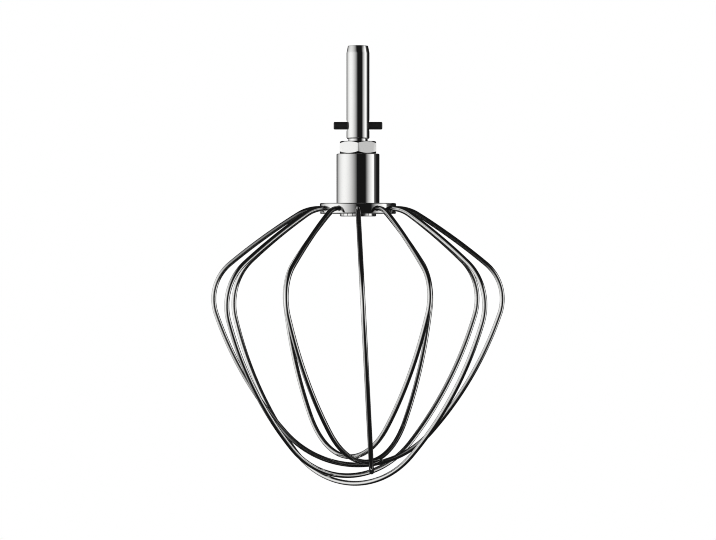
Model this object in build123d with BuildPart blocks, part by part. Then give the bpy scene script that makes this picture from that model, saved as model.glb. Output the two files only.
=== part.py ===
"""Balloon whisk for a stand mixer: a shank with a cross pin, a lock nut, a hub and six woven wire loops."""

import os
from math import asin, atan2, cos, degrees, hypot, radians, sin, sqrt, tan

from build123d import *

# Millimetres. The origin is the centre of the shank's top face and +Z runs up the shank.

# drive shank
shank_d = 9.5
shank_length = 38.5
lead_in_d = 8.35
lead_in_length = 2.9
lead_in_round = 4.0
shank_end_break = 0.15
shoulder_chamfer = 0.4
stud_d = 8.0
stud_length = 21.0
stud_chamfer = 0.8

# cross pin, with countersunk mouths at both ends of its hole
pin_d = 3.15
pin_length = 20.2
pin_drop = 33.05
pin_end_round = 0.5
pin_clearance = 0.03
mouth_d = 4.9
mouth_depth = 0.3

# lock nut, jammed on the hub's top face
neck_gap = 1.0
nut_flats = 15.0
nut_height = 5.2
nut_face_d = 14.2
nut_chamfer_angle = 30.0
corner_margin = 1.0
thread_clearance = 0.1

# hub, whose spigot goes through the disc and shows below it
hub_d = 17.8
hub_height = 20.45
hub_top_round = 0.4
hub_bore_depth = 17.5
drill_point_angle = 118.0
spigot_d = 15.0
spigot_reach = 1.1
spigot_chamfer = 0.3
spigot_clearance = 0.03

# disc that carries the wires
disc_d = 31.6
disc_thickness = 4.4
disc_edge_round = 0.5
wire_hole_depth = 6.5
wire_hole_clearance = 0.05

# wire loops, listed from the lowest to the innermost
wire_d = 2.0
loop_count = 6
weave_gap = 0.18
cage_drop = 113.8
bottom_lean = 5.65
lower_set_turn = 240.0
upper_set_turn = 90.0
belly_reach = 60.0
straight_reach = 16.25
shoulder_bend = 16.1
slope_angle = 32.1
slope_bow = 7.6
belly_bend = 23.25
belly_step = 1.35
flank_bend = 146.0
bottom_bend = 37.3
bottom_step = 1.0

# heights that follow from the stack of pieces
nut_top = -(shank_length + neck_gap)
hub_top = nut_top - nut_height
disc_top = hub_top - hub_height
disc_middle = disc_top - disc_thickness / 2
disc_bottom = disc_top - disc_thickness
spigot_bottom = disc_bottom - spigot_reach
tapped_d = stud_d + 2 * thread_clearance
hole_floor = disc_d / 2 - wire_hole_depth

os.makedirs("parts", exist_ok=True)


with BuildPart() as drive_shank:
    with BuildSketch(Plane.XZ):
        with BuildLine():
            Polyline(
                (0, 0),
                (lead_in_d / 2, 0),
                (shank_d / 2, -lead_in_length),
                (shank_d / 2, -shank_length),
                (stud_d / 2, -shank_length),
                (stud_d / 2, -shank_length - stud_length),
                (0, -shank_length - stud_length),
                close=True,
            )
        make_face()
    revolve(axis=Axis.Z)
    rims = drive_shank.edges().filter_by(GeomType.CIRCLE).sort_by(Axis.Z)
    stud_end = rims[0]
    shoulder = rims.filter_by(lambda rim: rim.radius > lead_in_d / 2)[0]
    lead_in_base = rims[-2]
    shank_end = rims[-1]
    fillet(lead_in_base, lead_in_round)
    fillet(shank_end, shank_end_break)
    chamfer(shoulder, shoulder_chamfer)
    chamfer(stud_end, stud_chamfer)
    with Locations((0, 0, -pin_drop)):
        Cylinder(
            pin_d / 2 + pin_clearance, 2 * shank_d, rotation=(0, 90, 0), mode=Mode.SUBTRACT
        )
    for side in (1, -1):
        with Locations(Plane((side * shank_d / 2, 0, -pin_drop), z_dir=(side, 0, 0))):
            Cone(
                pin_d / 2,
                mouth_d / 2,
                mouth_depth,
                align=(Align.CENTER, Align.CENTER, Align.MAX),
                mode=Mode.SUBTRACT,
            )
drive_shank.part.label = "drive_shank"
export_step(drive_shank.part, "parts/drive_shank.step")


with BuildPart() as drive_pin:
    with Locations((0, 0, -pin_drop)):
        Cylinder(pin_d / 2, pin_length, rotation=(0, 90, 0))
    fillet(drive_pin.edges().filter_by(GeomType.CIRCLE), pin_end_round)
drive_pin.part.label = "drive_pin"
export_step(drive_pin.part, "parts/drive_pin.step")


with BuildPart() as lock_nut:
    with BuildSketch(Plane.XY.offset(hub_top)):
        RegularPolygon(nut_flats / 2, 6, major_radius=False, rotation=30)
        Circle(tapped_d / 2, mode=Mode.SUBTRACT)
    extrude(amount=nut_height)
    # the cones that turn the corners off both faces
    corner_r = nut_flats / 2 / cos(radians(30)) + corner_margin
    corner_drop = (corner_r - nut_face_d / 2) * tan(radians(nut_chamfer_angle))
    with BuildSketch(Plane.XZ):
        with BuildLine():
            Polyline(
                (0, nut_top),
                (nut_face_d / 2, nut_top),
                (corner_r, nut_top - corner_drop),
                (corner_r, hub_top + corner_drop),
                (nut_face_d / 2, hub_top),
                (0, hub_top),
                close=True,
            )
        make_face()
    revolve(axis=Axis.Z, mode=Mode.INTERSECT)
lock_nut.part.label = "lock_nut"
export_step(lock_nut.part, "parts/lock_nut.step")


with BuildPart() as hub_sleeve:
    bore_floor = hub_top - hub_bore_depth
    point_drop = tapped_d / 2 / tan(radians(drill_point_angle / 2))
    with BuildSketch(Plane.XZ):
        with BuildLine():
            Polyline(
                (tapped_d / 2, hub_top),
                (hub_d / 2, hub_top),
                (hub_d / 2, disc_top),
                (spigot_d / 2, disc_top),
                (spigot_d / 2, spigot_bottom),
                (0, spigot_bottom),
                (0, bore_floor - point_drop),
                (tapped_d / 2, bore_floor),
                close=True,
            )
        make_face()
    revolve(axis=Axis.Z)
    hub_rims = hub_sleeve.edges().filter_by(GeomType.CIRCLE)
    fillet(hub_rims.group_by(Axis.Z)[-1].sort_by(SortBy.RADIUS)[-1], hub_top_round)
    chamfer(hub_rims.sort_by(Axis.Z)[0], spigot_chamfer)
hub_sleeve.part.label = "hub_sleeve"
export_step(hub_sleeve.part, "parts/hub_sleeve.step")


with BuildPart() as wire_disc:
    with Locations((0, 0, disc_middle)):
        Cylinder(disc_d / 2, disc_thickness)
        fillet(wire_disc.edges().filter_by(GeomType.CIRCLE), disc_edge_round)
        Cylinder(spigot_d / 2 + spigot_clearance, disc_thickness, mode=Mode.SUBTRACT)
        with PolarLocations(disc_d / 2, 2 * loop_count):
            Cylinder(
                wire_d / 2 + wire_hole_clearance,
                2 * wire_hole_depth,
                rotation=(0, 90, 0),
                mode=Mode.SUBTRACT,
            )
wire_disc.part.label = "wire_disc"
export_step(wire_disc.part, "parts/wire_disc.step")


# Every loop is flat and has the same shoulders and reach. Each one is a wire's thickness shallower than the
# loop below it, with a tighter belly and a wider bottom, and its flat is leaned about its two holes so that
# it passes the axis to one side. The lower three lean a third of a turn apart and the upper three do so
# between them.
slope_start = radians(slope_angle)
slope_end = radians(slope_angle + slope_bow)
slope_x = straight_reach + shoulder_bend * sin(slope_start)
shoulder_fall = shoulder_bend * (1 - cos(slope_start))
set_size = loop_count // 2
turn_step = 360 / set_size

for index in range(loop_count):
    drop = cage_drop - index * (wire_d + weave_gap)
    belly = belly_bend - index * belly_step
    bottom = bottom_bend + index * bottom_step
    first_turn = lower_set_turn if index < set_size else upper_set_turn
    lean_turn = first_turn - index % set_size * turn_step

    # the slope is a shallow arc from the shoulder to the belly
    belly_x = belly_reach - belly
    slope_width = belly_x + belly * sin(slope_end) - slope_x
    slope_bend = slope_width / (sin(slope_end) - sin(slope_start))
    slope_fall = slope_bend * (cos(slope_start) - cos(slope_end))
    belly_y = -(shoulder_fall + slope_fall + belly * cos(slope_end))

    # the flank's circle touches the belly's and the bottom's circles from outside both
    bottom_y = bottom - drop
    across = hypot(belly_x, belly_y - bottom_y)
    to_belly = flank_bend - belly
    to_bottom = flank_bend - bottom
    along = (to_belly**2 - to_bottom**2 + across**2) / (2 * across)
    aside = sqrt(to_belly**2 - along**2)
    unit_x = -belly_x / across
    unit_y = (bottom_y - belly_y) / across
    flank_x = belly_x + unit_x * along + unit_y * aside
    flank_y = belly_y + unit_y * along - unit_x * aside
    belly_end = degrees(atan2(flank_y - belly_y, belly_x - flank_x))
    flank_end = degrees(atan2(flank_y - bottom_y, -flank_x))
    belly_turn = 90 - slope_angle - slope_bow + belly_end
    flank_turn = flank_end - belly_end
    bottom_turn = 2 * (90 - flank_end)

    tilt = asin(bottom_lean / drop)
    lean = radians(lean_turn)
    loop_plane = Plane(
        origin=(0, 0, disc_middle),
        x_dir=(sin(lean), -cos(lean), 0),
        z_dir=(-cos(lean) * cos(tilt), -sin(lean) * cos(tilt), -sin(tilt)),
    )
    with BuildPart() as wire_loop:
        with BuildLine(loop_plane) as path:
            run = Line((-hole_floor, 0), (-straight_reach, 0))
            bend = JernArc(run @ 1, run % 1, shoulder_bend, slope_angle)
            bend = JernArc(bend @ 1, bend % 1, slope_bend, slope_bow)
            bend = JernArc(bend @ 1, bend % 1, belly, belly_turn)
            bend = JernArc(bend @ 1, bend % 1, flank_bend, flank_turn)
            bend = JernArc(bend @ 1, bend % 1, bottom, bottom_turn)
            bend = JernArc(bend @ 1, bend % 1, flank_bend, flank_turn)
            bend = JernArc(bend @ 1, bend % 1, belly, belly_turn)
            bend = JernArc(bend @ 1, bend % 1, slope_bend, slope_bow)
            bend = JernArc(bend @ 1, bend % 1, shoulder_bend, slope_angle)
            Line(bend @ 1, (hole_floor, 0))
        with BuildSketch(Plane(path.line @ 0, z_dir=path.line % 0)):
            Circle(wire_d / 2)
        sweep(path=path.line)
    wire_loop.part.label = f"wire_loop_{index + 1}"
    export_step(wire_loop.part, f"parts/wire_loop_{index + 1}.step")
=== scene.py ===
from math import asin, atan2, cos, hypot, pi, radians, sin, sqrt, tan

import bmesh
import bpy
from mathutils import Matrix, Vector


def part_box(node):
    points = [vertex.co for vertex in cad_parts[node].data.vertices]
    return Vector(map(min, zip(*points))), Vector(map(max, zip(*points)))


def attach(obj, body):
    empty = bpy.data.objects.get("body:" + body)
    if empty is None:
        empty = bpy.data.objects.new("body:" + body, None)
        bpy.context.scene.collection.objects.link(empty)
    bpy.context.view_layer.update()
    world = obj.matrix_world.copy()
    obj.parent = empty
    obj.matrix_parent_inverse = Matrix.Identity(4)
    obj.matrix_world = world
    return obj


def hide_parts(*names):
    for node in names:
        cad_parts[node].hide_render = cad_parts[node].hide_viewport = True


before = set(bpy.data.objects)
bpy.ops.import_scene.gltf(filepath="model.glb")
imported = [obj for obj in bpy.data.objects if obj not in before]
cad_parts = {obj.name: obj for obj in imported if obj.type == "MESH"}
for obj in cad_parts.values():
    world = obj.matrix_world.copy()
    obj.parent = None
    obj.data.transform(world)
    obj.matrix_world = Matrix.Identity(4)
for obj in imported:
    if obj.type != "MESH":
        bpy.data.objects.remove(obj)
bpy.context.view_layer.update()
scene = bpy.context.scene
mm = 0.001      # sizes below are in mm, meshes in metres
doubled = 1e-8  # metres, points closer than this are one
overcut = 1.0   # mm that a cutting tool reaches past the surface it cuts


def srgb(hexCode):
    values = [int(hexCode[i:i + 2], 16) / 255 for i in (1, 3, 5)]
    linear = [v / 12.92 if v <= 0.04045 else ((v + 0.055) / 1.055) ** 2.4 for v in values]
    return (*linear, 1.0)


def addNode(tree, kind, settings=None, sockets=None):
    # a socket is named or numbered, and takes either a link or a plain value
    node = tree.nodes.new(kind)
    for name, value in (settings or {}).items():
        setattr(node, name, value)
    for key, value in (sockets or {}).items():
        if isinstance(value, bpy.types.NodeSocket):
            tree.links.new(value, node.inputs[key])
        else:
            node.inputs[key].default_value = value
    return node


def newMaterial(name, metallic):
    material = bpy.data.materials.new(name)
    material.use_nodes = True
    tree = material.node_tree
    tree.nodes.clear()
    shader = addNode(tree, "ShaderNodeBsdfPrincipled", None, {"Metallic": metallic})
    addNode(tree, "ShaderNodeOutputMaterial", None, {"Surface": shader.outputs[0]})
    return material, tree, shader


def dress(tree, shader, colour, roughness, normal):
    tree.links.new(colour, shader.inputs["Base Color"])
    tree.links.new(roughness, shader.inputs["Roughness"])
    tree.links.new(normal, shader.inputs["Normal"])


# Turned and polished stainless steel: a near mirror, so the eye reads the studio in it,
# with faint rings round the axis left by the lathe and the polishing belt.
polished = {
    "clean": "#d0d0cf", "handled": "#c9c9c8",
    "smudgeSize": 9.0,        # mm, clouds left by handling
    "ringSpacing": 0.22,      # mm, coarser than the real 0.05 mm so that the rings show
    "ringDepth": 0.00008,     # mm
    "hazeSpan": (0.1, 0.45),  # rings and smudges together, from the glossiest to the dullest
    "roughness": (0.025, 0.06),
}
polishedSteel, tree, shader = newMaterial("polishedStainless", 1.0)
place = addNode(tree, "ShaderNodeTexCoord").outputs["Object"]
axes = addNode(tree, "ShaderNodeSeparateXYZ", None, {0: place})
level = addNode(tree, "ShaderNodeCombineXYZ", None, {0: axes.outputs[0], 1: axes.outputs[1]})
reach = addNode(tree, "ShaderNodeVectorMath", {"operation": "LENGTH"}, {0: level.outputs[0]})
turned = addNode(tree, "ShaderNodeCombineXYZ", None, {0: reach.outputs["Value"], 1: axes.outputs[2]})
rings = addNode(tree, "ShaderNodeTexNoise", {"noise_dimensions": "2D"}, {
    "Vector": turned.outputs[0], "Scale": 1 / (polished["ringSpacing"] * mm),
    "Detail": 2.0, "Roughness": 0.6})
smudges = addNode(tree, "ShaderNodeTexNoise", None, {
    "Vector": place, "Scale": 1 / (polished["smudgeSize"] * mm), "Detail": 4.0, "Roughness": 0.55})
tone = addNode(tree, "ShaderNodeMix", {"data_type": "RGBA"}, {
    0: smudges.outputs[0], 6: srgb(polished["clean"]), 7: srgb(polished["handled"])})
haze = addNode(tree, "ShaderNodeMath", {"operation": "MULTIPLY"}, {
    0: rings.outputs[0], 1: smudges.outputs[0]})
gloss = addNode(tree, "ShaderNodeMapRange", None, {
    0: haze.outputs[0], 1: polished["hazeSpan"][0], 2: polished["hazeSpan"][1],
    3: polished["roughness"][0], 4: polished["roughness"][1]})
relief = addNode(tree, "ShaderNodeBump", None, {
    "Height": rings.outputs[0], "Strength": 1.0, "Distance": polished["ringDepth"] * mm})
dress(tree, shader, tone.outputs[2], gloss.outputs[0], relief.outputs[0])

# Bright drawn stainless wire: glossy, with fine streaks along its length from the drawing die.
drawn = {
    "bright": "#d0d0cf", "dull": "#c2c2c1",
    "streakWidth": 0.16,      # mm across the wire
    "streakLength": 14.0,     # mm along it
    "streakDepth": 0.0001,    # mm
    "streakSpan": (0.3, 0.7),  # of the streaks' noise, from the glossiest to the dullest
    "roughness": (0.03, 0.08),
}
drawnWire, tree, shader = newMaterial("brightDrawnWire", 1.0)
section = addNode(tree, "ShaderNodeAttribute", {"attribute_name": "sectionPlace"})
along = addNode(tree, "ShaderNodeAttribute", {"attribute_name": "alongWire"})
around = addNode(tree, "ShaderNodeSeparateXYZ", None, {0: section.outputs["Vector"]})
shortened = addNode(tree, "ShaderNodeMath", {"operation": "MULTIPLY"}, {
    0: along.outputs["Fac"], 1: drawn["streakWidth"] / drawn["streakLength"]})
streakPlace = addNode(tree, "ShaderNodeCombineXYZ", None, {
    0: around.outputs[0], 1: around.outputs[1], 2: shortened.outputs[0]})
streaks = addNode(tree, "ShaderNodeTexNoise", None, {
    "Vector": streakPlace.outputs[0], "Scale": 1 / (drawn["streakWidth"] * mm),
    "Detail": 2.0, "Roughness": 0.6})
tone = addNode(tree, "ShaderNodeMix", {"data_type": "RGBA"}, {
    0: streaks.outputs[0], 6: srgb(drawn["bright"]), 7: srgb(drawn["dull"])})
gloss = addNode(tree, "ShaderNodeMapRange", None, {
    0: streaks.outputs[0], 1: drawn["streakSpan"][0], 2: drawn["streakSpan"][1],
    3: drawn["roughness"][0], 4: drawn["roughness"][1]})
relief = addNode(tree, "ShaderNodeBump", None, {
    "Height": streaks.outputs[0], "Strength": 1.0, "Distance": drawn["streakDepth"] * mm})
dress(tree, shader, tone.outputs[2], gloss.outputs[0], relief.outputs[0])

# Black oxide on ground steel: a dark, faintly greasy skin with a fine tooth,
# and a painted highlight, paler and speckled, on the rounded ends.
oxide = {
    # the black is the oxide, and the paler grey is a painted highlight for the rounded ends
    "black": "#272728", "endHighlight": "#5a5a5b",
    "tooth": 0.35,            # mm, the etched grain of the bath
    "toothDepth": 0.004,      # mm
    "toothStrength": 0.5,
    "toothSpan": (0.3, 0.7),  # of the tooth's noise, from the glossiest to the dullest
    "highlightFrom": 9.55,         # mm from the middle of the pin, where the painted highlight starts
    "highlightWidth": 0.5,         # mm over which the black fades to the painted highlight at the end
    "roughness": (0.36, 0.54),
}
blackOxide, tree, shader = newMaterial("blackOxideSteel", 0.0)
place = addNode(tree, "ShaderNodeTexCoord").outputs["Object"]
tooth = addNode(tree, "ShaderNodeTexNoise", None, {
    "Vector": place, "Scale": 1 / (oxide["tooth"] * mm), "Detail": 3.0, "Roughness": 0.6})
axes = addNode(tree, "ShaderNodeSeparateXYZ", None, {0: place})
outward = addNode(tree, "ShaderNodeMath", {"operation": "ABSOLUTE"}, {0: axes.outputs[0]})
# painted highlight: the base colour turns paler on the pin's rounded ends, speckled by the tooth
nearEnd = addNode(tree, "ShaderNodeMapRange", {"interpolation_type": "SMOOTHSTEP"}, {
    0: outward.outputs[0], 1: oxide["highlightFrom"] * mm,
    2: (oxide["highlightFrom"] + oxide["highlightWidth"]) * mm, 3: 0.0, 4: 1.0})
highlightMask = addNode(tree, "ShaderNodeMath", {"operation": "MULTIPLY"}, {
    0: nearEnd.outputs[0], 1: tooth.outputs[0]})
tone = addNode(tree, "ShaderNodeMix", {"data_type": "RGBA"}, {
    0: highlightMask.outputs[0], 6: srgb(oxide["black"]), 7: srgb(oxide["endHighlight"])})
gloss = addNode(tree, "ShaderNodeMapRange", None, {
    0: tooth.outputs[0], 1: oxide["toothSpan"][0], 2: oxide["toothSpan"][1],
    3: oxide["roughness"][0], 4: oxide["roughness"][1]})
relief = addNode(tree, "ShaderNodeBump", None, {
    "Height": tooth.outputs[0], "Strength": oxide["toothStrength"],
    "Distance": oxide["toothDepth"] * mm})
dress(tree, shader, tone.outputs[2], gloss.outputs[0], relief.outputs[0])
print("finishes mixed")


def meshObject(name, mesh, material=None):
    piece = bpy.data.objects.new(name, mesh)
    scene.collection.objects.link(piece)
    if material:
        mesh.materials.clear()
        mesh.materials.append(material)
    return piece


def smoothShade(mesh, sharpFrom):
    mesh.polygons.foreach_set("use_smooth", [True] * len(mesh.polygons))
    mesh.set_sharp_from_angle(angle=radians(sharpFrom))


def roundCorners(corners, steps=7):
    # corners are (radius, height, rounding) in mm, and a rounding of 0 stays sharp
    points = []
    for i, (r, z, rounding) in enumerate(corners):
        here = Vector((r, z))
        if not rounding:
            points.append(here)
            continue
        back = (Vector(corners[i - 1][:2]) - here).normalized()
        ahead = (Vector(corners[i + 1][:2]) - here).normalized()
        half = back.angle(ahead) / 2
        centre = here + (back + ahead).normalized() * (rounding / sin(half))
        start = here + back * (rounding / tan(half)) - centre
        sweep = start.angle_signed(here + ahead * (rounding / tan(half)) - centre)
        for step in range(steps + 1):
            points.append(centre + Matrix.Rotation(-sweep * step / steps, 2) @ start)
    return points


def turnedMesh(name, corners, segments, axis="Z", closed=False):
    # spins a profile about Z, or about X for the pin and the drills
    build = bmesh.new()
    rings = []
    for r, z in roundCorners(corners):
        turns = [2 * pi * i / segments for i in range(segments if r > 0 else 1)]
        rings.append([build.verts.new((r * mm * cos(a), r * mm * sin(a), z * mm)) for a in turns])
    pairs = list(zip(rings, rings[1:])) + ([(rings[-1], rings[0])] if closed else [])
    for upper, lower in pairs:
        for i in range(segments):
            j = (i + 1) % segments
            face = [upper[i % len(upper)], upper[j % len(upper)],
                    lower[j % len(lower)], lower[i % len(lower)]]
            face = list(dict.fromkeys(face))
            if len(face) > 2:
                build.faces.new(face)
    bmesh.ops.remove_doubles(build, verts=build.verts, dist=doubled)
    bmesh.ops.recalc_face_normals(build, faces=build.faces)
    if axis == "X":
        build.transform(Matrix.Rotation(pi / 2, 4, "Y"))
    mesh = bpy.data.meshes.new(name)
    build.to_mesh(mesh)
    build.free()
    return mesh


def plainMesh(host, name):
    # what the modifiers make of the host, as a mesh of its own
    graph = bpy.context.evaluated_depsgraph_get()
    mesh = bpy.data.meshes.new_from_object(host.evaluated_get(graph), depsgraph=graph)
    mesh.name = name
    bpy.data.objects.remove(host)
    return mesh


def combined(name, mesh, tool, operation):
    host, cutter = meshObject(name + "Host", mesh), meshObject(name + "Tool", tool)
    change = host.modifiers.new("combine", "BOOLEAN")
    change.operation, change.solver, change.object = operation, "EXACT", cutter
    made = plainMesh(host, name)
    bpy.data.objects.remove(cutter)
    # the cut leaves a few doubled points and slivers along its rims
    build = bmesh.new()
    build.from_mesh(made)
    bmesh.ops.remove_doubles(build, verts=build.verts, dist=doubled)
    bmesh.ops.dissolve_degenerate(build, dist=doubled, edges=build.edges)
    build.to_mesh(made)
    build.free()
    return made


def newTree(name, inputs):
    tree = bpy.data.node_groups.new(name, "GeometryNodeTree")
    tree.interface.new_socket("Geometry", in_out="INPUT", socket_type="NodeSocketGeometry")
    for label, kind in inputs.items():
        tree.interface.new_socket(label, in_out="INPUT", socket_type="NodeSocket" + kind)
    tree.interface.new_socket("Geometry", in_out="OUTPUT", socket_type="NodeSocketGeometry")
    return tree, addNode(tree, "NodeGroupInput").outputs


def closeTree(tree, geometry, material):
    realized = addNode(tree, "GeometryNodeRealizeInstances", None, {0: geometry})
    finished = addNode(tree, "GeometryNodeSetMaterial", None, {
        "Geometry": realized.outputs[0], "Material": material})
    addNode(tree, "NodeGroupOutput", None, {0: finished.outputs[0]})


def grownMesh(name, base, tree, values):
    host = meshObject(name + "Host", base)
    grow = host.modifiers.new("grow", "NODES")
    grow.node_group = tree
    for item in tree.interface.items_tree:
        if item.in_out == "INPUT" and item.name in values:
            grow[item.identifier] = values[item.name]
    return plainMesh(host, name)


def settle(piece, body, node=None):
    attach(piece, body)
    if node:
        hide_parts(node)


# where the solids put each piece, in mm
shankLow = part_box("drive_shank")[0].z / mm
nutLow, nutTop = (corner.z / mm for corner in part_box("lock_nut"))
hubLow, hubTop = (corner.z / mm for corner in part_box("hub_sleeve"))
discLow, discTop = (corner.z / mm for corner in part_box("wire_disc"))
pinMiddle = sum(corner.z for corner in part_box("drive_pin")) / 2 / mm

wire = {
    "diameter": 2.0, "sides": 28, "loops": 6, "weaveGap": 0.18,
    "cageDrop": 113.8, "bottomLean": 5.65, "lowerSetTurn": 240.0, "upperSetTurn": 90.0,
    "holeFloor": 9.3, "straightReach": 16.25, "bellyReach": 60.0, "shoulderBend": 16.1,
    "slopeAngle": 32.1, "slopeBow": 7.6, "flankBend": 146.0,
    # radii of the lowest loop, and how much each loop above it changes
    "bellyBend": 23.25, "bellyStep": -1.35, "bottomBend": 37.3, "bottomStep": 1.0,
    "chordGap": 0.004,        # mm between an arc and its chords
    "straightSteps": 6,
    "sharpFrom": 60,          # degrees between faces, from which an edge is shaded sharp
}


def halfLoop(index, drop):
    # (length, None) for a straight and (radius, turn) for a bend, from the hole to the lowest point
    belly = wire["bellyBend"] + index * wire["bellyStep"]
    bottom = wire["bottomBend"] + index * wire["bottomStep"]
    slopeStart, slopeBow = radians(wire["slopeAngle"]), radians(wire["slopeBow"])
    slopeEnd = slopeStart + slopeBow
    bellyX = wire["bellyReach"] - belly
    slopeFrom = wire["straightReach"] + wire["shoulderBend"] * sin(slopeStart)
    slopeBend = (bellyX + belly * sin(slopeEnd) - slopeFrom) / (sin(slopeEnd) - sin(slopeStart))
    shoulderFall = wire["shoulderBend"] * (1 - cos(slopeStart))
    slopeFall = slopeBend * (cos(slopeStart) - cos(slopeEnd))
    bellyY = -(shoulderFall + slopeFall + belly * cos(slopeEnd))
    bottomY = bottom - drop
    # the flank's circle touches the belly's and the bottom's circles from outside both
    across = hypot(bellyX, bellyY - bottomY)
    toBelly = wire["flankBend"] - belly
    toBottom = wire["flankBend"] - bottom
    ahead = (toBelly ** 2 - toBottom ** 2 + across ** 2) / (2 * across)
    aside = sqrt(toBelly ** 2 - ahead ** 2)
    unitX, unitY = -bellyX / across, (bottomY - bellyY) / across
    flankX = bellyX + unitX * ahead + unitY * aside
    flankY = bellyY + unitY * ahead - unitX * aside
    bellyEnd = atan2(flankY - bellyY, bellyX - flankX)
    flankEnd = atan2(flankY - bottomY, -flankX)
    return [
        (wire["straightReach"] - wire["holeFloor"], None),
        (wire["shoulderBend"], slopeStart),
        (slopeBend, slopeBow),
        (belly, pi / 2 - slopeEnd + bellyEnd),
        (wire["flankBend"], flankEnd - bellyEnd),
        (bottom, pi / 2 - flankEnd),
    ]


def loopPath(index):
    drop = wire["cageDrop"] - index * (wire["diameter"] + wire["weaveGap"])
    half = halfLoop(index, drop)
    here, heading = Vector((-wire["holeFloor"], 0)), pi
    points = [here]
    for size, turn in half + half[::-1]:
        if turn is None:
            steps = wire["straightSteps"]
        else:
            steps = max(2, round(turn / sqrt(8 * wire["chordGap"] / size)))
        bend = 0.0 if turn is None else turn / steps
        chord = size / steps if turn is None else 2 * size * sin(bend / 2)
        for _ in range(steps):
            here = here + chord * Vector((cos(heading + bend / 2), sin(heading + bend / 2)))
            heading += bend
            points.append(here)
    # each flat loop leans about its two holes, and the loops of the lower three
    # are a third of a turn apart, as those of the upper three are
    setSize = wire["loops"] // 2
    firstTurn = wire["lowerSetTurn"] if index < setSize else wire["upperSetTurn"]
    lean = radians(firstTurn - index % setSize * 360 / setSize)
    tilt = asin(wire["bottomLean"] / drop)
    across = Vector((sin(lean), -cos(lean), 0))
    facing = Vector((-cos(lean) * cos(tilt), -sin(lean) * cos(tilt), -sin(tilt)))
    down = facing.cross(across)
    root = Vector((0, 0, (discLow + discTop) / 2))
    return [(root + across * x + down * y) * mm for x, y in points]


# sweeps a round section along a path and keeps the places along and around it for the finish
wireTree, given = newTree("sweptWire", {"Wire Diameter": "Float", "Sides": "Int"})
path = addNode(wireTree, "GeometryNodeMeshToCurve", None, {0: given["Geometry"]})
spline = addNode(wireTree, "GeometryNodeSplineParameter")
marked = addNode(
    wireTree, "GeometryNodeStoreNamedAttribute", {"data_type": "FLOAT", "domain": "POINT"}, {
        "Geometry": path.outputs[0], "Name": "alongWire", "Value": spline.outputs["Length"]})
radius = addNode(wireTree, "ShaderNodeMath", {"operation": "DIVIDE"}, {
    0: given["Wire Diameter"], 1: 2.0})
circle = addNode(wireTree, "GeometryNodeCurvePrimitiveCircle", {"mode": "RADIUS"}, {
    "Resolution": given["Sides"], "Radius": radius.outputs[0]})
spot = addNode(wireTree, "GeometryNodeInputPosition")
ring = addNode(
    wireTree, "GeometryNodeStoreNamedAttribute", {"data_type": "FLOAT_VECTOR", "domain": "POINT"}, {
        "Geometry": circle.outputs[0], "Name": "sectionPlace", "Value": spot.outputs[0]})
swept = addNode(wireTree, "GeometryNodeCurveToMesh", None, {
    "Curve": marked.outputs[0], "Profile Curve": ring.outputs[0], "Fill Caps": True})
closeTree(wireTree, swept.outputs[0], drawnWire)

for index in range(wire["loops"]):
    points = loopPath(index)
    pathMesh = bpy.data.meshes.new("wirePath")
    pathMesh.from_pydata(points, [(i, i + 1) for i in range(len(points) - 1)], [])
    mesh = grownMesh(f"wireLoop{index + 1}", pathMesh, wireTree, {
        "Wire Diameter": wire["diameter"] * mm, "Sides": wire["sides"]})
    smoothShade(mesh, wire["sharpFrom"])
    piece = meshObject(f"wireLoop{index + 1}", mesh)
    settle(piece, "cage", f"wire_loop_{index + 1}")
print("wire loops swept")

shank = {
    "diameter": 9.5, "length": 38.5, "segments": 160, "sharpFrom": 20,
    "leadInDiameter": 8.35, "leadInLength": 2.9, "leadInRound": 4.0, "endBreak": 0.15,
    "shoulderChamfer": 0.4, "shoulderBreak": 0.06,
    # the neck runs out to the core that carries the thread
    "neckDiameter": 8.0, "neckLength": 1.4, "runoutLength": 0.35, "runoutBreak": 0.08,
    "coreDiameter": 6.7, "coreChamfer": 0.4,
    "holeDiameter": 3.21, "mouthDiameter": 4.9, "mouthDepth": 0.3, "holeSegments": 64,
}
shoulder, neckLow = -shank["length"], -shank["length"] - shank["neckLength"]
shankR, neckR, coreR = shank["diameter"] / 2, shank["neckDiameter"] / 2, shank["coreDiameter"] / 2
shankMesh = turnedMesh("driveShank", [
    (0, 0, 0),
    (shank["leadInDiameter"] / 2, 0, shank["endBreak"]),
    (shankR, -shank["leadInLength"], shank["leadInRound"]),
    (shankR, shoulder + shank["shoulderChamfer"], shank["shoulderBreak"]),
    (shankR - shank["shoulderChamfer"], shoulder, shank["shoulderBreak"]),
    (neckR, shoulder, 0),
    (neckR, neckLow + shank["runoutLength"], shank["runoutBreak"]),
    (coreR, neckLow, 0),
    (coreR, shankLow + shank["coreChamfer"], 0),
    (coreR - shank["coreChamfer"], shankLow, 0),
    (0, shankLow, 0),
], shank["segments"])
holeR, mouthR = shank["holeDiameter"] / 2, shank["mouthDiameter"] / 2
# the countersink's slope is carried on outside the shank
flareR = mouthR + (mouthR - holeR) / shank["mouthDepth"] * overcut
toolEnd = shankR + overcut
holeTool = turnedMesh("pinHole", [
    (0, -toolEnd, 0), (flareR, -toolEnd, 0), (holeR, shank["mouthDepth"] - shankR, 0),
    (holeR, shankR - shank["mouthDepth"], 0), (flareR, toolEnd, 0), (0, toolEnd, 0),
], shank["holeSegments"], axis="X")
holeTool.transform(Matrix.Translation((0, 0, pinMiddle * mm)))
shankMesh = combined("driveShank", shankMesh, holeTool, "DIFFERENCE")
smoothShade(shankMesh, shank["sharpFrom"])
piece = meshObject("driveShank", shankMesh, polishedSteel)
settle(piece, "shank", "drive_shank")

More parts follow.
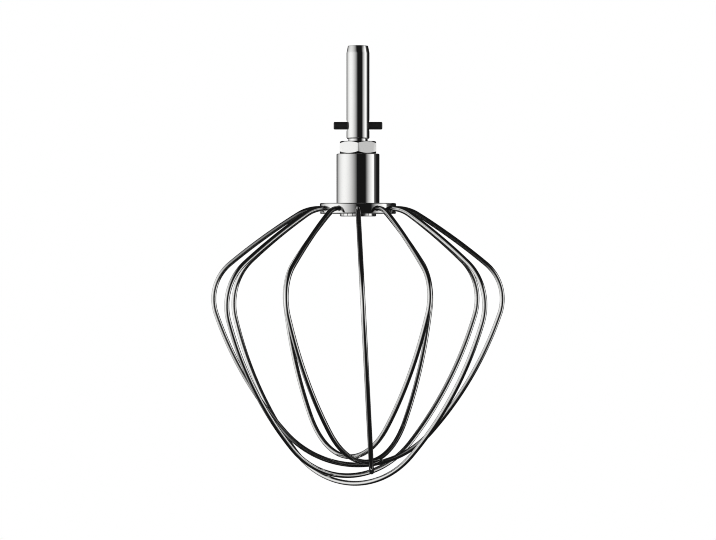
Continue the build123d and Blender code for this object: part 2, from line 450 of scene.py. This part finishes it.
thread = {
    "majorDiameter": 8.0, "pitch": 1.25, "crestWidth": 0.17, "rootWidth": 1.09,
    "stepsPerTurn": 72, "fadeTurns": 0.4, "endGap": 0.7, "sharpFrom": 25,
    "fadeLeast": 0.03,        # share of its size that is left at the ridge's top end
    "runIn": 0.3,             # mm that the ridge reaches up into the neck's runout
    "sink": 0.05,             # mm of the ridge's foot inside the core
}
# sweeps a ridge up a helix round the stud's core, and its top end sinks into the core
threadTree, given = newTree("studThread", {
    "Major Diameter": "Float", "Core Diameter": "Float", "Length": "Float", "Turns": "Float",
    "Steps Per Turn": "Int", "Crest Width": "Float", "Root Width": "Float", "Fade Share": "Float"})
coreHalf = addNode(threadTree, "ShaderNodeMath", {"operation": "DIVIDE"}, {
    0: given["Core Diameter"], 1: 2.0})
crestHalf = addNode(threadTree, "ShaderNodeMath", {"operation": "DIVIDE"}, {
    0: given["Major Diameter"], 1: 2.0})
ridge = addNode(threadTree, "ShaderNodeMath", {"operation": "SUBTRACT"}, {
    0: crestHalf.outputs[0], 1: coreHalf.outputs[0]})
helix = addNode(threadTree, "GeometryNodeCurveSpiral", None, {
    "Resolution": given["Steps Per Turn"], "Rotations": given["Turns"], "Height": given["Length"],
    "Start Radius": coreHalf.outputs[0], "End Radius": coreHalf.outputs[0], "Reverse": False})
upright = addNode(threadTree, "GeometryNodeSetCurveNormal", {"mode": "Z_UP"}, {0: helix.outputs[0]})
spline = addNode(threadTree, "GeometryNodeSplineParameter")
fade = addNode(threadTree, "ShaderNodeMapRange", None, {
    0: spline.outputs["Factor"], 1: 1.0, 2: given["Fade Share"], 3: thread["fadeLeast"], 4: 1.0})
profile = addNode(threadTree, "GeometryNodeCurvePrimitiveQuadrilateral", {"mode": "TRAPEZOID"}, {
    "Height": ridge.outputs[0], "Bottom Width": given["Root Width"],
    "Top Width": given["Crest Width"], "Offset": 0.0})
outHalf = addNode(threadTree, "ShaderNodeMath", {"operation": "DIVIDE"}, {0: ridge.outputs[0], 1: -2.0})
outward = addNode(threadTree, "ShaderNodeCombineXYZ", None, {0: outHalf.outputs[0]})
stood = addNode(threadTree, "GeometryNodeTransform", None, {
    0: profile.outputs[0], "Translation": outward.outputs[0], "Rotation": (0.0, 0.0, pi / 2)})
swept = addNode(threadTree, "GeometryNodeCurveToMesh", None, {
    "Curve": upright.outputs[0], "Profile Curve": stood.outputs[0],
    "Scale": fade.outputs[0], "Fill Caps": True})
closeTree(threadTree, swept.outputs[0], polishedSteel)

threadLength = neckLow + thread["runIn"] - shankLow - thread["endGap"]
threadTurns = threadLength / thread["pitch"]
threadMesh = grownMesh("studThread", bpy.data.meshes.new("threadBase"), threadTree, {
    "Major Diameter": thread["majorDiameter"] * mm,
    "Core Diameter": (shank["coreDiameter"] - 2 * thread["sink"]) * mm,
    "Length": threadLength * mm, "Turns": threadTurns, "Steps Per Turn": thread["stepsPerTurn"],
    "Crest Width": thread["crestWidth"] * mm, "Root Width": thread["rootWidth"] * mm,
    "Fade Share": 1 - thread["fadeTurns"] / threadTurns})
threadMesh.transform(Matrix.Translation((0, 0, (shankLow + thread["endGap"]) * mm)))
smoothShade(threadMesh, thread["sharpFrom"])
settle(meshObject("studThread", threadMesh), "shank")
print("shank turned, bored and threaded")

pin = {"diameter": 3.15, "length": 20.2, "endRound": 0.5, "segments": 64, "sharpFrom": 32}
pinR, pinHalf = pin["diameter"] / 2, pin["length"] / 2
pinMesh = turnedMesh("crossPin", [
    (0, -pinHalf, 0), (pinR, -pinHalf, pin["endRound"]),
    (pinR, pinHalf, pin["endRound"]), (0, pinHalf, 0),
], pin["segments"], axis="X")
pinMesh.transform(Matrix.Translation((0, 0, pinMiddle * mm)))
smoothShade(pinMesh, pin["sharpFrom"])
settle(meshObject("crossPin", pinMesh, blackOxide), "shank", "drive_pin")

nut = {
    "flats": 15.0, "faceDiameter": 14.2, "chamferAngle": 30.0, "boreDiameter": 8.2, "countersink": 9.0,
    "edgeBreak": 0.1, "breakSegments": 3, "faceBreak": 0.08, "segments": 144, "sharpFrom": 18,
    "barMargin": 0.5,         # mm of hexagon bar that is turned off each face
}
cornerR = nut["flats"] / 2 / cos(pi / 6)
faceR, boreR, sinkR = nut["faceDiameter"] / 2, nut["boreDiameter"] / 2, nut["countersink"] / 2
sheerR = cornerR + overcut
sheerDrop = (sheerR - faceR) * tan(radians(nut["chamferAngle"]))
hexBuild = bmesh.new()
turns = [pi / 6 + pi / 3 * i for i in range(6)]     # a corner points forward
rims = [[hexBuild.verts.new((cornerR * cos(a) * mm, cornerR * sin(a) * mm, z * mm)) for a in turns]
        for z in (nutTop + nut["barMargin"], nutLow - nut["barMargin"])]
for i in range(6):
    hexBuild.faces.new((rims[0][i], rims[0][i - 1], rims[1][i - 1], rims[1][i]))
hexBuild.faces.new(rims[0])
hexBuild.faces.new(rims[1][::-1])
bmesh.ops.recalc_face_normals(hexBuild, faces=hexBuild.faces)
upright = [e for e in hexBuild.edges if abs(e.verts[0].co.z - e.verts[1].co.z) > mm]
bmesh.ops.bevel(
    hexBuild, geom=upright, offset=nut["edgeBreak"] * mm, segments=nut["breakSegments"],
    profile=0.5, affect="EDGES")
hexMesh = bpy.data.meshes.new("nutHex")
hexBuild.to_mesh(hexMesh)
hexBuild.free()
nutTool = turnedMesh("nutTurned", [
    (sinkR, nutTop, 0), (faceR, nutTop, nut["faceBreak"]), (sheerR, nutTop - sheerDrop, 0),
    (sheerR, nutLow + sheerDrop, 0), (faceR, nutLow, nut["faceBreak"]), (sinkR, nutLow, 0),
    (boreR, nutLow + sinkR - boreR, 0), (boreR, nutTop - sinkR + boreR, 0),
], nut["segments"], closed=True)
nutMesh = combined("lockNut", hexMesh, nutTool, "INTERSECT")
smoothShade(nutMesh, nut["sharpFrom"])
settle(meshObject("lockNut", nutMesh, polishedSteel), "cage", "lock_nut")

hub = {
    "diameter": 17.8, "topRound": 0.4, "segments": 192, "sharpFrom": 20,
    "boreDiameter": 8.2, "boreDepth": 17.5, "drillPointAngle": 118.0,
    "spigotDiameter": 15.0, "spigotChamfer": 0.3, "spigotBreak": 0.08,
}
hubR, boreR, spigotR = hub["diameter"] / 2, hub["boreDiameter"] / 2, hub["spigotDiameter"] / 2
boreLow = hubTop - hub["boreDepth"]
drillTip = boreLow - boreR / tan(radians(hub["drillPointAngle"] / 2))
hubMesh = turnedMesh("hubSleeve", [
    (0, drillTip, 0), (boreR, boreLow, 0), (boreR, hubTop, 0),
    (hubR, hubTop, hub["topRound"]), (hubR, discTop, 0), (spigotR, discTop, 0),
    (spigotR, hubLow + hub["spigotChamfer"], hub["spigotBreak"]),
    (spigotR - hub["spigotChamfer"], hubLow, hub["spigotBreak"]), (0, hubLow, 0),
], hub["segments"])
smoothShade(hubMesh, hub["sharpFrom"])
settle(meshObject("hubSleeve", hubMesh, polishedSteel), "cage", "hub_sleeve")

disc = {
    "diameter": 31.6, "edgeRound": 0.5, "boreDiameter": 15.06, "segments": 240, "sharpFrom": 20,
    "holes": 12, "holeDiameter": 2.1, "holeDepth": 6.5, "holeBreak": 0.1, "holeSegments": 48,
}
discR, boreR, holeR = disc["diameter"] / 2, disc["boreDiameter"] / 2, disc["holeDiameter"] / 2
discMesh = turnedMesh("wireDisc", [
    (boreR, discTop, 0), (discR, discTop, disc["edgeRound"]),
    (discR, discLow, disc["edgeRound"]), (boreR, discLow, 0),
], disc["segments"], closed=True)
# sets one drill out in a ring, for the holes that the wires stand in
drillTree, given = newTree("ringOfDrills", {"Holes": "Int"})
spots = addNode(drillTree, "GeometryNodePoints", None, {"Count": given["Holes"]})
share = addNode(drillTree, "ShaderNodeMath", {"operation": "DIVIDE"}, {
    0: addNode(drillTree, "GeometryNodeInputIndex").outputs[0], 1: given["Holes"]})
turn = addNode(drillTree, "ShaderNodeMath", {"operation": "MULTIPLY"}, {0: share.outputs[0], 1: 2 * pi})
facing = addNode(drillTree, "ShaderNodeCombineXYZ", None, {2: turn.outputs[0]})
drills = addNode(drillTree, "GeometryNodeInstanceOnPoints", None, {
    "Points": spots.outputs[0], "Instance": given["Geometry"], "Rotation": facing.outputs[0]})
closeTree(drillTree, drills.outputs[0], polishedSteel)
holeEnd = discR - disc["holeDepth"]
drill = turnedMesh("drill", [
    (0, holeEnd, 0), (holeR, holeEnd, 0), (holeR, discR - disc["holeBreak"], 0),
    (holeR + disc["holeBreak"] + overcut, discR + overcut, 0), (0, discR + overcut, 0),
], disc["holeSegments"], axis="X")
drill.transform(Matrix.Translation((0, 0, (discLow + discTop) / 2 * mm)))
drillMesh = grownMesh("drills", drill, drillTree, {"Holes": disc["holes"]})
discMesh = combined("wireDisc", discMesh, drillMesh, "DIFFERENCE")
smoothShade(discMesh, disc["sharpFrom"])
settle(meshObject("wireDisc", discMesh, polishedSteel), "cage", "wire_disc")
print("pin, nut, hub and disc made")

# a pale matt card well below the whisk, which hangs free as it does in the mixer
ground = {
    "radius": 0.68, "height": -0.30,    # metres
    "segments": 128,
    "pale": "#f4f4f3", "shade": "#efefee", "roughness": 0.9,
    "fibre": 3.0,             # mm
}
floorMesh = bpy.data.meshes.new("floor")
floorBuild = bmesh.new()
bmesh.ops.create_circle(
    floorBuild, cap_ends=True, segments=ground["segments"], radius=ground["radius"])
floorBuild.transform(Matrix.Translation((0, 0, ground["height"])))
floorBuild.to_mesh(floorMesh)
floorBuild.free()
mattCard, tree, shader = newMaterial("mattCard", 0.0)
fibre = addNode(tree, "ShaderNodeTexNoise", None, {
    "Vector": addNode(tree, "ShaderNodeTexCoord").outputs["Object"],
    "Scale": 1 / (ground["fibre"] * mm), "Detail": 3.0})
tone = addNode(tree, "ShaderNodeMix", {"data_type": "RGBA"}, {
    0: fibre.outputs[0], 6: srgb(ground["pale"]), 7: srgb(ground["shade"])})
tree.links.new(tone.outputs[2], shader.inputs["Base Color"])
shader.inputs["Roughness"].default_value = ground["roughness"]
# from below the card is clear, so that the whisk can be seen from there
surface = shader.outputs[0].links[0].to_socket
oneSided = addNode(tree, "ShaderNodeMixShader", None, {
    0: addNode(tree, "ShaderNodeNewGeometry").outputs["Backfacing"], 1: shader.outputs[0],
    2: addNode(tree, "ShaderNodeBsdfTransparent").outputs[0]})
tree.links.new(oneSided.outputs[0], surface)
floor = meshObject("floor", floorMesh, mattCard)
floor.visible_glossy = False        # polished metal mirrors the studio, not the card
floor.visible_shadow = False        # the lower lamps shine through it

# a dark studio with a broad soft panel on the left and a narrower one on the right,
# which show in reflections alone, and a white backdrop
studio = {
    "dark": 0.03, "backdrop": 1.0, "contrast": 0.8,
    "softness": 1.0,          # pixels over which an edge is softened
    # bearings in degrees from the camera, positive to its right
    "leftBearing": -79.0, "leftHalfWidth": 75.0, "leftHalfHeight": 54.0,
    "leftStrength": 1.52, "leftFall": 0.8,
    "rightBearings": (40.0, 57.0, 70.0, 86.0, 94.0, 99.0, 120.0),
    "rightGlow": (0.0, 0.85, 1.3, 1.62, 1.62, 0.25, 0.0),
    "rightHeights": (22.0, 34.0),       # elevations where it starts to fade and ends
}
world = bpy.data.worlds.new("studio")
scene.world = world
world.use_nodes = True
tree = world.node_tree
tree.nodes.clear()
direction = addNode(tree, "ShaderNodeSeparateXYZ", None, {
    0: addNode(tree, "ShaderNodeTexCoord").outputs["Generated"]})
forward = addNode(tree, "ShaderNodeMath", {"operation": "MULTIPLY"}, {
    0: direction.outputs[1], 1: -1.0})
bearing = addNode(tree, "ShaderNodeMath", {"operation": "ARCTAN2"}, {
    0: direction.outputs[0], 1: forward.outputs[0]})
height = addNode(tree, "ShaderNodeMath", {"operation": "ARCSINE"}, {0: direction.outputs[2]})
steep = addNode(tree, "ShaderNodeMath", {"operation": "ABSOLUTE"}, {0: height.outputs[0]})

# the left panel glows most at its middle and dies away to an oval edge
acrossLeft = addNode(tree, "ShaderNodeMath", {"operation": "SUBTRACT"}, {
    0: bearing.outputs[0], 1: radians(studio["leftBearing"])})
oval = addNode(tree, "ShaderNodeCombineXYZ", None, {0: acrossLeft.outputs[0], 1: steep.outputs[0]})
quarter = pi / 2
scaled = addNode(tree, "ShaderNodeVectorMath", {"operation": "MULTIPLY"}, {
    0: oval.outputs[0],
    1: (quarter / radians(studio["leftHalfWidth"]), quarter / radians(studio["leftHalfHeight"]), 0.0)})
fromMiddle = addNode(tree, "ShaderNodeVectorMath", {"operation": "LENGTH"}, {0: scaled.outputs[0]})
within = addNode(tree, "ShaderNodeMath", {"operation": "MINIMUM"}, {
    0: fromMiddle.outputs["Value"], 1: quarter})
bell = addNode(tree, "ShaderNodeMath", {"operation": "COSINE"}, {0: within.outputs[0]})
soft = addNode(tree, "ShaderNodeMath", {"operation": "POWER", "use_clamp": True}, {
    0: bell.outputs[0], 1: studio["leftFall"]})
leftGlow = addNode(tree, "ShaderNodeMath", {"operation": "MULTIPLY_ADD"}, {
    0: soft.outputs[0], 1: studio["leftStrength"], 2: studio["dark"]})

# the right panel is a strip that brightens outward to a crisp edge
turn = addNode(tree, "ShaderNodeMapRange", None, {
    0: bearing.outputs[0], 1: -pi, 2: pi, 3: 0.0, 4: 1.0})
strip = addNode(tree, "ShaderNodeValToRGB", None, {0: turn.outputs[0]})
stops = strip.color_ramp.elements
while len(stops) < len(studio["rightBearings"]):
    stops.new(0.5)
for stop, bearingAt, glow in zip(stops, studio["rightBearings"], studio["rightGlow"]):
    stop.position, stop.color = (bearingAt + 180) / 360, (glow, glow, glow, 1)
fadeFrom, fadeTo = (radians(angle) for angle in studio["rightHeights"])
window = addNode(tree, "ShaderNodeMapRange", {"interpolation_type": "SMOOTHSTEP"}, {
    0: steep.outputs[0], 1: fadeFrom, 2: fadeTo, 3: 1.0, 4: 0.0})
strength = addNode(tree, "ShaderNodeMath", {"operation": "MULTIPLY_ADD"}, {
    0: strip.outputs[0], 1: window.outputs[0], 2: leftGlow.outputs[0]})
white = (1, 1, 1, 1)
panels = addNode(tree, "ShaderNodeBackground", None, {
    "Color": white, "Strength": strength.outputs[0]})
backdrop = addNode(tree, "ShaderNodeBackground", None, {
    "Color": white, "Strength": studio["backdrop"]})
rays = addNode(tree, "ShaderNodeLightPath")
bright = addNode(tree, "ShaderNodeMath", {"operation": "MAXIMUM"}, {
    0: rays.outputs["Is Camera Ray"], 1: rays.outputs["Is Diffuse Ray"]})
seen = addNode(tree, "ShaderNodeMixShader", None, {
    0: bright.outputs[0], 1: panels.outputs[0], 2: backdrop.outputs[0]})
addNode(tree, "ShaderNodeOutputWorld", None, {0: seen.outputs[0]})

# soft round lamps that shine on the turned pieces alone, for the views from above, behind and below
lamps = {
    # bearing and elevation in degrees, radius in metres and glow
    "places": (
        (-145, 48, 0.42, 0.45), (145, 48, 0.42, 0.45), (180, 84, 0.2, 0.7),
        (-110, -48, 0.42, 0.5), (110, -48, 0.42, 0.5)),
    "distance": 1.0,
}
turnedPieces = bpy.data.collections.new("turnedPieces")
for name in ("driveShank", "studThread", "lockNut", "hubSleeve", "wireDisc"):
    turnedPieces.objects.link(bpy.data.objects[name])
middle = Vector((0, 0, hubTop * mm))
for side, rise, radius, glow in lamps["places"]:
    bulb = bpy.data.lights.new("softLamp", "AREA")
    bulb.shape, bulb.size = "DISK", 2 * radius
    bulb.energy = glow * pi * pi * radius ** 2      # watts that give the glow
    lamp = bpy.data.objects.new("softLamp", bulb)
    raised = Vector((0, -cos(radians(rise)), sin(radians(rise))))
    away = Matrix.Rotation(radians(side), 3, "Z") @ raised
    lamp.location = middle + lamps["distance"] * away
    lamp.rotation_euler = away.to_track_quat("Z", "Y").to_euler()
    lamp.visible_camera = False
    lamp.light_linking.receiver_collection = turnedPieces
    scene.collection.objects.link(lamp)

scene.view_settings.view_transform = "Standard"
scene.view_settings.gamma = studio["contrast"]
scene.cycles.filter_width = studio["softness"]

# metres, millimetres of lens and sensor, and degrees downward
camera = {"distance": 1.0122, "height": -0.07518, "lens": 122.64, "sensor": 36.0, "pitch": 1.002}
lens = bpy.data.cameras.new("camera")
lens.sensor_width, lens.lens = camera["sensor"], camera["lens"]
eye = bpy.data.objects.new("camera", lens)
eye.location = (0, -camera["distance"], camera["height"])
eye.rotation_euler = (radians(90 - camera["pitch"]), 0, 0)
scene.collection.objects.link(eye)
scene.camera = eye
print("floor, light and camera set")
